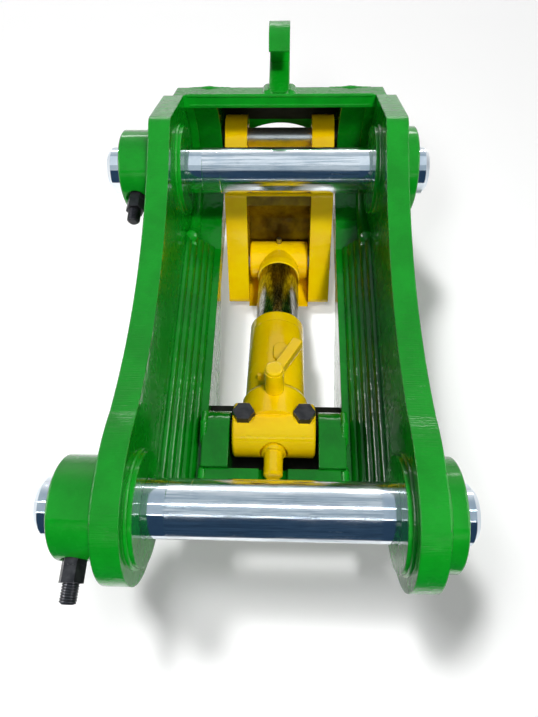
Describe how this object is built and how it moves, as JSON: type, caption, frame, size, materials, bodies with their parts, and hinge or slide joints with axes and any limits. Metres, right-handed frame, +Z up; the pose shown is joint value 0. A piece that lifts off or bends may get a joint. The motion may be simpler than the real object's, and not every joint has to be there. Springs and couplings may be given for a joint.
{
  "type": "excavator quick coupler",
  "caption": "Hydraulic pin-grabber coupler: a welded frame with two machine pins, fixed front hooks, and a cylinder-driven rear jaw that locks a bucket's pins.",
  "frame": {"origin": "centre of the dipper pin, midway between the ears", "axes": "+X along the pins to the machine's right, +Y from the dipper pin to the link pin, +Z up, away from the bucket"},
  "size_m": [0.3215, 0.553, 0.252],
  "materials": {
    "frame_paint": "glossy",
    "jaw_paint": "glossy",
    "plated_pin": "zinc plated",
    "rod_chrome": "polished",
    "black_bolt": "black oxide",
    "plain_steel": "machined",
    "bush_brass": "machined",
    "seal_rubber": "matte"
  },
  "bodies": {
    "frame": {"ear_plate_left": "frame_paint", "ear_plate_right": "frame_paint", "hook_plate_left": "frame_paint", "hook_plate_right": "frame_paint", "trunnion_lug_left": "frame_paint", "trunnion_lug_right": "frame_paint", "seam_weld_left": "frame_paint", "seam_weld_right": "frame_paint", "rear_weld_left": "frame_paint", "rear_weld_right": "frame_paint", "rear_cover_plate": "frame_paint", "rear_tie_plate": "frame_paint", "lifting_hook": "frame_paint", "front_cross_plate": "frame_paint", "dipper_collar_left": "frame_paint", "dipper_collar_right": "frame_paint", "dipper_boss_left": "frame_paint", "dipper_ring_right": "frame_paint", "dipper_pin": "plated_pin", "link_collar_left": "frame_paint", "link_collar_right": "frame_paint", "link_boss_left": "frame_paint", "link_ring_right": "frame_paint", "link_pin": "plated_pin", "retention_bolts": "black_bolt", "retention_nuts": "black_bolt", "lock_nuts": "black_bolt", "jaw_pivot_pin": "plated_pin", "pivot_pin_circlips": "plain_steel", "jaw_thrust_washers": "plain_steel", "trunnion_bushes": "bush_brass"},
    "jaw": {"jaw_cheek_left": "jaw_paint", "jaw_cheek_right": "jaw_paint", "jaw_web": "jaw_paint", "jaw_bushes": "bush_brass", "rod_pin": "plain_steel", "rod_pin_circlips": "plain_steel"},
    "cylinder": {"cylinder_base": "jaw_paint", "trunnion_pin": "plain_steel", "trunnion_bolts": "black_bolt", "cylinder_barrel": "jaw_paint", "port_pad": "jaw_paint", "cylinder_gland": "jaw_paint", "rod_wiper": "seal_rubber", "rod_seal": "seal_rubber", "hose_elbow": "jaw_paint", "elbow_cap_screw": "jaw_paint", "bleed_screw": "jaw_paint", "hose_adapter": "jaw_paint"},
    "rod": {"piston_rod": "rod_chrome", "piston": "plain_steel", "piston_seal": "seal_rubber", "piston_nut": "plain_steel", "rod_eye": "jaw_paint", "rod_eye_bush": "bush_brass", "grease_nipple": "plain_steel"}
  },
  "joints": [
    {"name": "jaw_swing", "type": "hinge", "parent": "frame", "child": "jaw", "pos_m": [0, 0.426, -0.033], "axis": [1, 0, 0], "range_deg": [0, 20]},
    {"name": "cylinder_tilt", "type": "hinge", "parent": "frame", "child": "cylinder", "pos_m": [0, 0.084, -0.064], "axis": [1, 0, 0], "range_deg": [-3.5, 0]},
    {"name": "rod_slide", "type": "slide", "parent": "cylinder", "child": "rod", "axis": [0, 0.9623, -0.2721], "range_m": [0, 0.0465]}
  ],
  "couplings": [
    {"joint": "cylinder_tilt", "follows": "jaw_swing", "ratio": -0.166},
    {"joint": "rod_slide", "follows": "jaw_swing", "m_per_rad": 0.1315}
  ]
}
